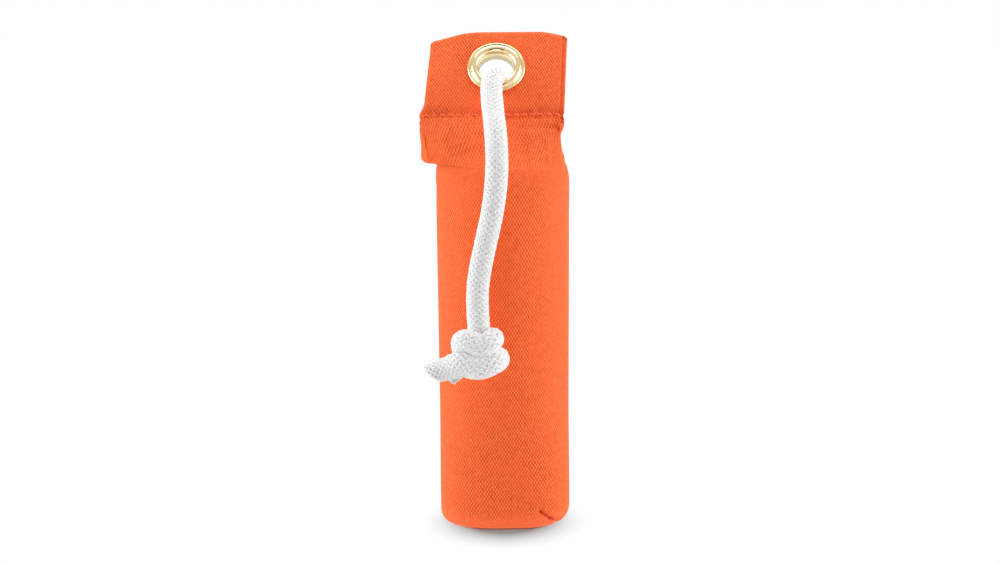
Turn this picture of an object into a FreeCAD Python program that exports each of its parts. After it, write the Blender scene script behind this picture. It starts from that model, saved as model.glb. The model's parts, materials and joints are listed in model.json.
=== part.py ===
import FreeCAD, Part
import math
import os
import Sketcher

# Training bumper: a foam core in a sewn canvas cover that closes into a flat header,
# with a brass eyelet through the header and a knotted throw rope through the eyelet.
# Millimetres. Origin at the middle of the base, +Z up, the front faces -Y.

SIZES = (
    ("body_diameter", 50.8, "outside of the round canvas sleeve"),
    ("shoulder_height", 138.0, "base to the top of the round sleeve"),
    ("stitch_height", 156.0, "base to the stitched line that closes the cover"),
    ("cloth", 0.8, "one layer of canvas"),
    ("base_round", 4.0, "radius of the bottom edge"),
    ("base_band", 6.0, "height of the boxed base"),
    ("core_gap", 0.25, "foam core to cover"),
    ("core_round", 3.6, "rounding of the foam core's ends"),
    ("core_headroom", 1.5, "core's top below the shoulder"),
    ("base_seam_place", 4.0, "base seam behind the middle of the base"),
    ("corner_seam_place", 15.5, "corner seams out from the middle of the base"),
    ("corner_seam_length", 26.0, "length of each corner seam on the base"),
    ("seam_width", 1.0, "width of a seam's crease in the base"),
    ("seam_depth", 0.7, "depth of a seam's crease in the base"),
    ("thread_diameter", 0.5, "sewing thread"),
    ("stitch_length", 2.4, "one visible stitch"),
    ("stitch_pitch", 3.2, "stitch to stitch"),
    ("back_seam_inset", 8.0, "back seam's ends in from the sleeve's ends"),
    ("header_width", 53.6, "flat header, side to side"),
    ("header_length", 40.0, "stitched line to the header's top edge"),
    ("header_shift", -2.0, "header's middle from the body's axis"),
    ("header_lean", 40.0, "degrees that the header leans back"),
    ("fold_gap", 0.05, "header's layers to the rolled fold below them"),
    ("fold_clearance", 0.4, "room for the fold to turn over the shoulder panels"),
    ("seam_rise", 0.6, "closing stitches above the fold line"),
    ("tuck_depth", 13.0, "side tucks in from the header's edges"),
    ("layer_gap", 0.05, "between folded layers"),
    ("gusset_half_width", 6.0, "half of a gusset where it leaves the sleeve"),
    ("gusset_gap", 0.4, "gusset to the panels beside it"),
    ("gusset_inset", 0.6, "gusset's flat foot inside the sleeve's round outline"),
    ("left_ear", 4.6, "how far the left gusset's fold stands out"),
    ("right_ear", -1.4, "how far the right gusset's fold stands out"),
    ("stay_margin", 4.0, "header stay in from the top and bottom of the header"),
    ("eyelet_height", 20.5, "eyelet's centre above the fold line"),
    ("eyelet_hole", 13.4, "clear hole through the eyelet"),
    ("eyelet_flange", 22.3, "outside of the eyelet's rim"),
    ("eyelet_metal", 0.4, "wall of the eyelet's barrel"),
    ("eyelet_crown", 1.3, "eyelet's rim above the canvas"),
    ("crown_round", 1.04, "rounding of the eyelet's rim"),
    ("eyelet_gap", 0.15, "eyelet's barrel to the holes that it passes through"),
    ("washer_thickness", 0.9, "washer behind the header"),
    ("rolled_lip", 1.5, "barrel's end rolled out over the washer"),
    ("rope_diameter", 8.4, "braided throw rope"),
    ("rope_gap", 0.3, "rope to the eyelet that it rests on"),
    ("knot_width", 19.0, "knot across the rope"),
    ("knot_length", 19.0, "knot along the rope"),
    ("knot_depth", 17.0, "knot front to back"),
    ("knot_round", 5.5, "rounding of a knot"),
    ("knot_stand", 1.3, "stopper knot behind the eyelet's rolled lip"),
    ("knot_drop", 3.0, "stopper knot's middle below the rope in the eyelet"),
    ("grip_knot_left", 8.5, "grip knot's middle left of the body's axis"),
    ("grip_knot_bottom", 64.0, "grip knot's underside above the base"),
    ("grip_knot_gap", 1.2, "grip knot to the sleeve behind it"),
    ("tail_length", 11.5, "rope past the grip knot"),
    ("tail_drop", 20.0, "degrees that the tail slopes down"),
    ("tail_side", 4.5, "tail's centre line above the grip knot's underside"),
    ("thread_end", 6.0, "loose end of the closing thread"),
)

# Centre line of the throw rope after the eyelet, as left-right, front-back and height.
ROPE_ROUTE = (
    (-4.2, -1.5, 168.6),
    (-3.3, -13.6, 158.6),
    (-2.1, -25.2, 149.4),
    (-2.0, -31.5, 136.8),
    (-3.8, -31.4, 123.6),
    (-6.6, -30.6, 111.8),
    (-9.2, -30.6, 99.6),
    (-9.8, -31.6, 89.6),
    (-8.9, -34.2, 79.0),
)
ARC_SHARE = 0.48

doc = FreeCAD.newDocument("training_bumper")


def make_sheet():
    """Put the driving sizes in a spreadsheet, one row each, with an alias for the value."""
    sheet = doc.addObject("Spreadsheet::Sheet", "sizes")
    for row, (name, value, meaning) in enumerate(SIZES, start=1):
        sheet.set(f"A{row}", meaning)
        sheet.set(f"B{row}", str(value))
        sheet.setAlias(f"B{row}", name)
    doc.recompute()
    return sheet


sheet = make_sheet()


def size(name):
    """A driving size as a number."""
    return float(sheet.get(name))


def bound(text):
    """An expression on the spreadsheet: every word that is a size's name gets the sheet's name."""
    words = text.split()
    names = {entry[0] for entry in SIZES}
    return " ".join(f"sizes.{word}" if word in names else word for word in words)


def new_body(label):
    body = doc.addObject("PartDesign::Body", label)
    body.Label = label
    body.AllowCompound = True
    return body


def new_sketch(body, plane_role, offset="0"):
    """A sketch on one of the body's origin planes, moved along the plane's normal."""
    sketch = body.newObject("Sketcher::SketchObject", f"{body.Label}_sketch")
    plane = next(item for item in body.Origin.OriginFeatures if item.Role == plane_role)
    sketch.AttachmentSupport = (plane, "")
    sketch.MapMode = "FlatFace"
    sketch.setExpression("AttachmentOffset.Base.z", bound(offset))
    return sketch


def bind_distance(sketch, kind, geometry, point, text):
    """Hold a point's horizontal or vertical distance from the sketch's origin."""
    index = sketch.addConstraint(Sketcher.Constraint(kind, -1, 1, geometry, point, 1.0))
    sketch.setExpression(f"Constraints[{index}]", bound(text))


def draw_outline(sketch, corners):
    """A closed outline of straight edges; each corner is a pair of expressions."""
    count = len(corners)
    start = sketch.GeometryCount
    for step in range(count):
        here = 2.0 * math.pi * step / count
        there = 2.0 * math.pi * (step + 1) / count
        first = FreeCAD.Vector(math.cos(here), math.sin(here), 0)
        second = FreeCAD.Vector(math.cos(there), math.sin(there), 0)
        sketch.addGeometry(Part.LineSegment(first, second), False)
    for step in range(count):
        following = start + (step + 1) % count
        sketch.addConstraint(Sketcher.Constraint("Coincident", start + step, 2, following, 1))
    for step, (across, up) in enumerate(corners):
        bind_distance(sketch, "DistanceX", start + step, 1, across)
        bind_distance(sketch, "DistanceY", start + step, 1, up)


def draw_box(sketch, left, right, low, high):
    draw_outline(sketch, ((left, low), (right, low), (right, high), (left, high)))


def draw_circle(sketch, across, up, diameter):
    circle = Part.Circle(FreeCAD.Vector(0, 0, 0), FreeCAD.Vector(0, 0, 1), 1.0)
    index = sketch.addGeometry(circle, False)
    bind_distance(sketch, "DistanceX", index, 3, across)
    bind_distance(sketch, "DistanceY", index, 3, up)
    radius = sketch.addConstraint(Sketcher.Constraint("Diameter", index, 2.0))
    sketch.setExpression(f"Constraints[{radius}]", bound(diameter))


def pad(body, sketch, length):
    feature = body.newObject("PartDesign::Pad", f"{body.Label}_pad")
    feature.Profile = sketch
    feature.setExpression("Length", bound(length))
    doc.recompute()
    return feature


def revolve(body, sketch, axis):
    feature = body.newObject("PartDesign::Revolution", f"{body.Label}_turned")
    feature.Profile = sketch
    feature.ReferenceAxis = (sketch, [axis])
    feature.Angle = 360.0
    doc.recompute()
    return feature


def round_edges(body, radius, wanted):
    """Fillet the edges of the body's last feature that the test picks."""
    base = body.Tip
    picked = [f"Edge{number}" for number, edge in enumerate(base.Shape.Edges, start=1) if wanted(edge)]
    feature = body.newObject("PartDesign::Fillet", f"{body.Label}_round")
    feature.Base = (base, picked)
    feature.setExpression("Radius", bound(radius))
    doc.recompute()
    return feature


def on_height(edge, height):
    """True for a full circle that lies level at this height."""
    box = edge.BoundBox
    return box.ZLength < 0.001 and abs(box.ZMin - height) < 0.001 and edge.isClosed()


def place_in_header(body):
    """Put a body that is drawn flat, +Z up the header and -Y out of its front, on the leaning header."""
    body.Placement = FreeCAD.Placement(
        FreeCAD.Vector(0, 0, 0), FreeCAD.Rotation(FreeCAD.Vector(1, 0, 0), -1.0)
    )
    body.setExpression("Placement.Base.x", bound("header_shift"))
    body.setExpression("Placement.Base.z", bound("stitch_height"))
    body.setExpression("Placement.Rotation.Angle", bound("0 - header_lean"))


def header_frame():
    turn = FreeCAD.Rotation(FreeCAD.Vector(1, 0, 0), -size("header_lean"))
    return FreeCAD.Placement(FreeCAD.Vector(size("header_shift"), 0, size("stitch_height")), turn)


# ---- the bumper's body -------------------------------------------------------------------


def make_foam_core():
    body = new_body("foam_core")
    sketch = new_sketch(body, "XY_Plane", "2 * cloth + core_gap")
    draw_circle(sketch, "0", "0", "body_diameter - 2 * cloth - 2 * core_gap")
    pad(body, sketch, "shoulder_height - core_headroom - 2 * cloth - core_gap")
    round_edges(body, "core_round", lambda edge: edge.BoundBox.ZLength < 0.001)
    return body


def make_base_panel():
    """The boxed base: a shallow cup of doubled canvas with creases where its seams run."""
    body = new_body("base_panel")
    sketch = new_sketch(body, "XZ_Plane")
    wall = "body_diameter / 2 - cloth"
    draw_outline(sketch, (
        ("0", "0"),
        ("body_diameter / 2", "0"),
        ("body_diameter / 2", "base_band"),
        (wall, "base_band"),
        (wall, "2 * cloth"),
        ("0", "2 * cloth"),
    ))
    revolve(body, sketch, "V_Axis")
    round_edges(body, "base_round", lambda edge: on_height(edge, 0.0))
    round_edges(body, "base_round - cloth", lambda edge: on_height(edge, 2 * size("cloth")))
    half = "seam_width / 2"
    reach = "corner_seam_length / 2"
    corner = "corner_seam_place"
    cut_crease(body, f"0 - {corner}", corner, f"base_seam_place - {half}", f"base_seam_place + {half}")
    cut_crease(body, f"{corner} - {half}", f"{corner} + {half}", f"0 - {reach}", reach)
    cut_crease(body, f"0 - {corner} - {half}", f"0 - {corner} + {half}", f"0 - {reach}", reach)
    return body


def cut_crease(body, left, right, front, back):
    sketch = new_sketch(body, "XY_Plane")
    draw_box(sketch, left, right, front, back)
    before = body.Shape.Volume
    crease = body.newObject("PartDesign::Pocket", f"{body.Label}_crease")
    crease.Profile = sketch
    crease.Reversed = True
    crease.setExpression("Length", bound("seam_depth"))
    doc.recompute()
    print(f"{body.Label} crease removes {before - body.Shape.Volume:.2f} mm3")


def make_sleeve():
    body = new_body("body_sleeve")
    sketch = new_sketch(body, "XY_Plane", "base_band")
    draw_circle(sketch, "0", "0", "body_diameter")
    draw_circle(sketch, "0", "0", "body_diameter - 2 * cloth")
    pad(body, sketch, "shoulder_height - base_band")
    return body


def loft(body, sketches):
    feature = body.newObject("PartDesign::AdditiveLoft", f"{body.Label}_loft")
    feature.Profile = sketches[0]
    feature.Sections = sketches[1:]
    feature.Ruled = True
    doc.recompute()
    return feature


def ring_corner(radius, across, side):
    """A point on the sleeve's ring beside a gusset: across is -1 left or 1 right."""
    lift = size("gusset_half_width") + size("gusset_gap")
    return FreeCAD.Vector(across * math.sqrt(radius ** 2 - lift ** 2), side * lift, size("shoulder_height"))


def side_edges(slopes, end):
    """The straight edge at one end of each sloping face: 0 is the left end, -1 the right."""
    picked = []
    for slope in slopes:
        rising = [edge for edge in slope.Edges if edge.BoundBox.ZLength > 1.0]
        rising.sort(key=lambda edge: edge.CenterOfMass.x)
        picked.append(rising[end])
    return picked


def make_shoulder(label, side):
    """One sloping panel, from half of the sleeve's ring up to the closing stitches; side is -1 in front."""
    cloth = size("cloth")
    outer = size("body_diameter") / 2
    top = size("stitch_height") - 2 * cloth - size("fold_clearance")
    bottoms = []
    tops = []
    for radius, layers in ((outer, 2), (outer - cloth, 1)):
        left = ring_corner(radius, -1, side)
        right = ring_corner(radius, 1, side)
        middle = FreeCAD.Vector(0, side * radius, size("shoulder_height"))
        bottoms.append(Part.Arc(left, middle, right).toShape())
        reach = size("header_width") / 2
        first = FreeCAD.Vector(size("header_shift") - reach, side * layers * cloth, top)
        last = FreeCAD.Vector(size("header_shift") + reach, side * layers * cloth, top)
        tops.append(Part.LineSegment(first, last).toShape())
    slopes = [Part.makeRuledSurface(low, high) for low, high in zip(bottoms, tops)]
    faces = list(slopes)
    for low_outer, low_inner in (bottoms, tops, side_edges(slopes, 0), side_edges(slopes, -1)):
        faces.append(Part.makeRuledSurface(low_outer, low_inner))
    shell = Part.makeShell(faces)
    shell.sewShape()
    panel = doc.addObject("Part::Feature", label)
    panel.Label = label
    panel.Shape = Part.makeSolid(shell)
    return panel


def make_gusset(label, side, ear):
    """The side of the cover, which folds in between the two sloping panels."""
    body = new_body(label)
    outer = "body_diameter / 2 - gusset_gap"
    levels = (
        ("shoulder_height", f"{outer} - cloth - gusset_inset", f"{outer} - gusset_inset", "gusset_half_width"),
        (
            "( shoulder_height + stitch_height - 2 * cloth - fold_clearance ) / 2",
            f"{outer} - tuck_depth / 2",
            f"body_diameter / 2 + {ear}",
            "gusset_half_width / 2 - gusset_gap",
        ),
        (
            "stitch_height - 2 * cloth - fold_clearance",
            f"{side} * header_shift + header_width / 2 - tuck_depth",
            f"{side} * header_shift + header_width / 2 - gusset_gap",
            "cloth - layer_gap",
        ),
    )
    sketches = []
    for height, inner, reach, half in levels:
        sketch = new_sketch(body, "XY_Plane", height)
        near = f"{side} * ( {inner} )"
        far = f"{side} * ( {reach} )"
        draw_outline(sketch, ((near, f"0 - ( {half} )"), (far, f"0 - ( {half} )"), (far, half), (near, half)))
        sketches.append(sketch)
    loft(body, sketches)
    return body


def stitch_row(label, run, places):
    """A straight row of stitches along X, centred; places are the rows' front-back and up positions."""
    body = new_body(label)
    count = f"floor( ( {run} ) / stitch_pitch )"
    sketch = new_sketch(body, "YZ_Plane", f"0 - ( ( {count} - 1 ) * stitch_pitch + stitch_length ) / 2")
    for across, up in places:
        draw_circle(sketch, across, up, "thread_diameter")
    stitch = pad(body, sketch, "stitch_length")
    row = body.newObject("PartDesign::LinearPattern", f"{label}_pattern")
    row.Originals = [stitch]
    row.Direction = (sketch, ["N_Axis"])
    row.setExpression("Length", bound(f"( {count} - 1 ) * stitch_pitch"))
    row.setExpression("Occurrences", bound(count))
    body.Tip = row
    doc.recompute()
    return body


def make_base_stitches():
    """The seams of the boxed base: one along X, and one across each of its two corners."""
    depth = "seam_depth / 2"
    stitch_row("base_seam_stitches", "2 * corner_seam_place - 4 * seam_width", (("base_seam_place", depth),))
    for label, side in (("left_corner_stitches", -1), ("right_corner_stitches", 1)):
        row = stitch_row(label, "corner_seam_length - seam_width", (("0", depth),))
        row.Placement = FreeCAD.Placement(
            FreeCAD.Vector(0, 0, 0), FreeCAD.Rotation(FreeCAD.Vector(0, 0, 1), 90)
        )
        row.setExpression("Placement.Base.x", bound(f"{side} * corner_seam_place"))


def make_back_stitches():
    """The long seam up the back of the sleeve."""
    out = "body_diameter / 2 + thread_diameter / 2 + layer_gap"
    row = stitch_row("back_seam_stitches", "shoulder_height - base_band - 2 * back_seam_inset", ((out, "0"),))
    row.Placement = FreeCAD.Placement(
        FreeCAD.Vector(0, 0, 0), FreeCAD.Rotation(FreeCAD.Vector(0, 1, 0), -90)
    )
    row.setExpression("Placement.Base.z", bound("( shoulder_height + base_band ) / 2"))


# ---- the header --------------------------------------------------------------------------


def header_plate(label, start, thickness, left, right, low, high, hole=True):
    """A flat layer of the header, with the eyelet's hole through it."""
    body = new_body(label)
    sketch = new_sketch(body, "XZ_Plane", start)
    draw_box(sketch, left, right, low, high)
    if hole:
        draw_circle(sketch, "0", "eyelet_height", "eyelet_hole + 2 * eyelet_metal + 2 * eyelet_gap")
    pad(body, sketch, thickness)
    place_in_header(body)
    return body


def make_header_layers():
    half = "header_width / 2"
    low = "2 * cloth + fold_gap"
    top = "header_length - 2 * cloth"
    header_plate("header_front_panel", "cloth", "cloth", f"0 - {half}", half, low, top)
    header_plate("header_back_panel", "0 - 2 * cloth", "cloth", f"0 - {half}", half, low, top)
    inner = "header_width / 2 - tuck_depth - gusset_gap"
    stay_low = "2 * cloth + fold_gap + stay_margin"
    stay_top = "header_length - 2 * cloth - stay_margin"
    header_plate("header_stay", "layer_gap - cloth", "2 * cloth - 2 * layer_gap",
                 f"0 - ( {inner} )", inner, stay_low, stay_top)


def make_header_tuck(label, side):
    """The gusset's cloth folded in between the header's panels: two layers joined by a fold."""
    body = new_body(label)
    sketch = new_sketch(body, "XY_Plane", "2 * cloth + fold_gap")
    outer = f"{side} * ( header_width / 2 - gusset_gap )"
    inner = f"{side} * ( header_width / 2 - tuck_depth )"
    crook = f"{side} * ( header_width / 2 - tuck_depth + cloth )"
    face = "cloth - layer_gap"
    draw_outline(sketch, (
        (outer, face),
        (inner, face),
        (inner, f"0 - ( {face} )"),
        (outer, f"0 - ( {face} )"),
        (outer, "0 - layer_gap"),
        (crook, "0 - layer_gap"),
        (crook, "layer_gap"),
        (outer, "layer_gap"),
    ))
    pad(body, sketch, "header_length - 4 * cloth - fold_gap")
    place_in_header(body)


def make_closing_fold():
    """The roll of gathered cloth at the fold line, which the header turns about."""
    body = new_body("closing_fold")
    sketch = new_sketch(body, "YZ_Plane", "0 - header_width / 2")
    draw_circle(sketch, "0", "0", "4 * cloth")
    pad(body, sketch, "header_width")
    place_in_header(body)


def make_top_hem():
    """The turned top edge: a half-round roll along the top of the header."""
    body = new_body("top_hem")
    sketch = new_sketch(body, "YZ_Plane", "0 - header_width / 2")
    radius = 2 * size("cloth")
    height = size("header_length") - radius
    circle = Part.Circle(FreeCAD.Vector(0, height, 0), FreeCAD.Vector(0, 0, 1), radius)
    sketch.addGeometry(Part.ArcOfCircle(circle, 0.0, math.pi), False)
    sketch.addGeometry(Part.LineSegment(sketch.getPoint(0, 2), sketch.getPoint(0, 1)), False)
    sketch.addConstraint(Sketcher.Constraint("Coincident", 0, 2, 1, 1))
    sketch.addConstraint(Sketcher.Constraint("Coincident", 0, 1, 1, 2))
    sketch.addConstraint(Sketcher.Constraint("Horizontal", 1))
    sketch.addConstraint(Sketcher.Constraint("PointOnObject", 0, 3, 1))
    sketch.addConstraint(Sketcher.Constraint("PointOnObject", 0, 3, -2))
    width = sketch.addConstraint(Sketcher.Constraint("Radius", 0, radius))
    sketch.setExpression(f"Constraints[{width}]", bound("2 * cloth"))
    bind_distance(sketch, "DistanceY", 0, 3, "header_length - 2 * cloth")
    pad(body, sketch, "header_width")
    place_in_header(body)


def place_at_eyelet(body):
    """As place_in_header, with the eyelet's centre as the body's origin."""
    place_in_header(body)
    body.setExpression("Placement.Base.y", bound("eyelet_height * sin( header_lean )"))
    body.setExpression("Placement.Base.z", bound("stitch_height + eyelet_height * cos( header_lean )"))


def make_eyelet():
    """A brass eyelet: front rim, barrel through the header, and its end rolled over the washer."""
    body = new_body("eyelet")
    sketch = new_sketch(body, "YZ_Plane")
    bore = "eyelet_hole / 2"
    barrel = "eyelet_hole / 2 + eyelet_metal"
    rim = "eyelet_flange / 2"
    lip = "eyelet_hole / 2 + eyelet_metal + rolled_lip"
    face = "0 - 2 * cloth - layer_gap"
    crown = "0 - 2 * cloth - eyelet_crown"
    washer_back = "2 * cloth + washer_thickness + 2 * layer_gap"
    lip_back = "2 * cloth + washer_thickness + 2 * layer_gap + eyelet_metal"
    draw_outline(sketch, (
        (crown, bore),
        (crown, rim),
        (face, rim),
        (face, barrel),
        (washer_back, barrel),
        (washer_back, lip),
        (lip_back, lip),
        (lip_back, bore),
    ))
    revolve(body, sketch, "H_Axis")
    front = -2 * size("cloth") - size("eyelet_crown")
    round_edges(body, "crown_round", lambda edge: edge.BoundBox.YMax < front + 0.001)
    place_at_eyelet(body)


def make_washer():
    body = new_body("eyelet_washer")
    sketch = new_sketch(body, "XZ_Plane", "0 - 2 * cloth - layer_gap - washer_thickness")
    draw_circle(sketch, "0", "0", "eyelet_flange")
    draw_circle(sketch, "0", "0", "eyelet_hole + 2 * eyelet_metal + 2 * eyelet_gap")
    pad(body, sketch, "washer_thickness")
    place_at_eyelet(body)


def make_header_stitches():
    """The row that closes the cover, seen on both faces of the header."""
    out = "2 * cloth + thread_diameter / 2 + layer_gap"
    places = ((out, "seam_rise"), (f"0 - ( {out} )", "seam_rise"))
    row = stitch_row("header_stitches", "header_width - 2 * seam_width", places)
    place_in_header(row)


def make_loose_thread():
    """The end of the closing thread, left long at the header's right edge."""
    body = new_body("loose_thread")
    sketch = new_sketch(body, "XY_Plane", "seam_rise - thread_end")
    draw_circle(sketch, "header_width / 2 + thread_diameter", "0 - cloth", "thread_diameter")
    pad(body, sketch, "thread_end")
    place_in_header(body)


# ---- the throw rope ----------------------------------------------------------------------

ROPE_RISE = "eyelet_height - eyelet_hole / 2 + rope_diameter / 2 + rope_gap"
LIP_BACK = "2 * cloth + washer_thickness + 2 * layer_gap + eyelet_metal"


def make_knot(label):
    """A knot as a rounded block, drawn upright with its front face towards -Y."""
    body = new_body(label)
    sketch = new_sketch(body, "XZ_Plane", "0 - knot_depth / 2")
    half = "knot_width / 2"
    draw_box(sketch, f"0 - {half}", half, "0", "knot_length")
    pad(body, sketch, "knot_depth")
    round_edges(body, "knot_round", lambda edge: True)
    return body


def make_stopper_knot():
    """The knot that keeps the rope from pulling out through the eyelet."""
    body = new_body("stopper_knot")
    sketch = new_sketch(body, "XZ_Plane", f"0 - ( {LIP_BACK} ) - knot_stand - knot_depth")
    half = "knot_width / 2"
    centre = f"{ROPE_RISE} - knot_drop"
    draw_box(sketch, f"0 - {half}", half, f"{centre} - knot_length / 2", f"{centre} + knot_length / 2")
    pad(body, sketch, "knot_depth")
    round_edges(body, "knot_round", lambda edge: True)
    place_in_header(body)


def make_rope_through():
    """The rope inside the eyelet, from the stopper knot to the front of the rim."""
    body = new_body("rope_through")
    sketch = new_sketch(body, "XZ_Plane", f"0 - ( {LIP_BACK} ) - knot_stand")
    draw_circle(sketch, "0", ROPE_RISE, "rope_diameter")
    pad(body, sketch, f"{LIP_BACK} + knot_stand + 2 * cloth + eyelet_crown")
    place_in_header(body)


def rope_start():
    """Where the rope bends over the eyelet's lower lip: the hinge of its swing."""
    rope = size("rope_diameter")
    rise = size("eyelet_height") - size("eyelet_hole") / 2 + rope / 2 + size("rope_gap")
    stand = 2 * size("cloth") + size("eyelet_crown") + rope / 2 + size("rope_gap")
    return header_frame().multVec(FreeCAD.Vector(0, -stand, rise))


def rope_path(points, diameter):
    """Straight runs joined by tangent arcs, each as large as its two runs allow."""
    edges = []
    here = points[0]
    for before, corner, after in zip(points, points[1:], points[2:]):
        back = before - corner
        ahead = after - corner
        turn = math.pi - back.getAngle(ahead)
        shorter = min(back.Length, ahead.Length)
        reach = ARC_SHARE * shorter
        radius = reach / math.tan(turn / 2)
        print(f"rope arc radius {radius:.1f} mm, {radius / diameter:.1f} diameters")
        back.normalize()
        ahead.normalize()
        enter = corner + back * reach
        leave = corner + ahead * reach
        inward = (back + ahead).normalize()
        middle = corner + inward * (radius / math.cos(turn / 2) - radius)
        edges.append(Part.LineSegment(here, enter).toShape())
        edges.append(Part.Arc(enter, middle, leave).toShape())
        here = leave
    edges.append(Part.LineSegment(here, points[-1]).toShape())
    return Part.Wire(edges)


def make_rope_leg(grip_knot):
    """The hanging rope: a ball where it turns in the eyelet, and a tube down to the grip knot."""
    diameter = size("rope_diameter")
    start = rope_start()
    points = [start] + [FreeCAD.Vector(*point) for point in ROPE_ROUTE]
    path = doc.addObject("Part::Feature", "rope_path")
    path.Shape = rope_path(points, diameter)
    section = doc.addObject("Part::Circle", "rope_section")
    section.setExpression("Radius", bound("rope_diameter / 2"))
    along = FreeCAD.Rotation(FreeCAD.Vector(0, 0, 1), points[1] - points[0])
    section.Placement = FreeCAD.Placement(start, along)
    tube = doc.addObject("Part::Sweep", "rope_tube")
    tube.Sections = [section]
    tube.Spine = (path, [f"Edge{number}" for number in range(1, len(path.Shape.Edges) + 1)])
    tube.Solid = True
    tube.Frenet = False
    doc.recompute()
    expected = math.pi * diameter ** 2 / 4 * path.Shape.Length
    print(f"rope length {path.Shape.Length:.1f} mm, volume over expected {tube.Shape.Volume / expected:.4f}")
    ball = doc.addObject("Part::Sphere", "rope_ball")
    ball.setExpression("Radius", bound("rope_diameter / 2"))
    ball.Placement = FreeCAD.Placement(start, FreeCAD.Rotation())
    whole = doc.addObject("Part::Fuse", "rope_whole")
    whole.Base = tube
    whole.Tool = ball
    leg = doc.addObject("Part::Cut", "rope_leg")
    leg.Label = "rope_leg"
    leg.Base = whole
    leg.Tool = grip_knot
    doc.recompute()
    print(f"swing axis at {start.x:.3f} {start.y:.3f} {start.z:.3f}")
    return leg


def make_grip_knot():
    body = make_knot("grip_knot")
    body.setExpression("Placement.Base.x", bound("0 - grip_knot_left"))
    body.setExpression("Placement.Base.y", bound("0 - body_diameter / 2 - grip_knot_gap - knot_depth / 2"))
    body.setExpression("Placement.Base.z", bound("grip_knot_bottom"))
    return body


def make_rope_tail(grip_knot):
    """The cut end of the rope, which comes out of the grip knot's left side."""
    rod = doc.addObject("Part::Cylinder", "tail_rod")
    rod.setExpression("Radius", bound("rope_diameter / 2"))
    rod.setExpression("Height", bound("tail_length + knot_width / 2"))
    rod.Placement = FreeCAD.Placement(
        FreeCAD.Vector(0, 0, 0), FreeCAD.Rotation(FreeCAD.Vector(0, 1, 0), -90)
    )
    rod.setExpression("Placement.Rotation.Angle", bound("90 + tail_drop"))
    rod.Placement.Rotation.Axis = FreeCAD.Vector(0, -1, 0)
    rod.setExpression("Placement.Base.x", bound("0 - grip_knot_left"))
    rod.setExpression("Placement.Base.y", bound("0 - body_diameter / 2 - grip_knot_gap - knot_depth / 2"))
    rise = "knot_width / 2 * tan( tail_drop )"
    rod.setExpression("Placement.Base.z", bound(f"grip_knot_bottom + tail_side + {rise}"))
    tail = doc.addObject("Part::Cut", "rope_tail")
    tail.Label = "rope_tail"
    tail.Base = rod
    tail.Tool = grip_knot
    doc.recompute()
    return tail


def build():
    make_foam_core()
    make_base_panel()
    make_sleeve()
    make_shoulder("front_shoulder", -1)
    make_shoulder("back_shoulder", 1)
    make_gusset("left_gusset", -1, "left_ear")
    make_gusset("right_gusset", 1, "right_ear")
    make_base_stitches()
    make_back_stitches()
    make_header_layers()
    make_header_tuck("left_header_tuck", -1)
    make_header_tuck("right_header_tuck", 1)
    make_closing_fold()
    make_top_hem()
    make_eyelet()
    make_washer()
    make_header_stitches()
    make_loose_thread()
    make_stopper_knot()
    make_rope_through()
    grip_knot = make_grip_knot()
    make_rope_leg(grip_knot)
    make_rope_tail(grip_knot)
    doc.recompute()


NODES = (
    "foam_core",
    "base_panel",
    "body_sleeve",
    "front_shoulder",
    "back_shoulder",
    "left_gusset",
    "right_gusset",
    "base_seam_stitches",
    "left_corner_stitches",
    "right_corner_stitches",
    "back_seam_stitches",
    "header_front_panel",
    "header_back_panel",
    "header_stay",
    "left_header_tuck",
    "right_header_tuck",
    "closing_fold",
    "top_hem",
    "eyelet",
    "eyelet_washer",
    "header_stitches",
    "loose_thread",
    "stopper_knot",
    "rope_through",
    "grip_knot",
    "rope_leg",
    "rope_tail",
)


def export():
    """Check every object, then write one STEP file for each sub-part."""
    failed = [item.Label for item in doc.Objects if {"Invalid", "Error"} & set(item.State)]
    parts = {name: doc.getObjectsByLabel(name)[0] for name in NODES}
    broken = [name for name, part in parts.items() if part.Shape.isNull() or not part.Shape.isValid()]
    if failed or broken:
        raise RuntimeError(f"failed objects {failed}, broken shapes {broken}")
    os.makedirs("parts", exist_ok=True)
    for name, part in parts.items():
        part.Shape.exportStep(f"parts/{name}.step")
        box = part.Shape.BoundBox
        print(f"{name:24s} solids {len(part.Shape.Solids):3d} volume {part.Shape.Volume:10.2f}"
              f"  x {box.XMin:7.2f} {box.XMax:7.2f}  y {box.YMin:7.2f} {box.YMax:7.2f}"
              f"  z {box.ZMin:7.2f} {box.ZMax:7.2f}")


build()
export()
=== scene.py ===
import json
import math
import random

import bmesh
import bpy
import numpy as np
from mathutils import Matrix, Vector, noise


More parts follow.
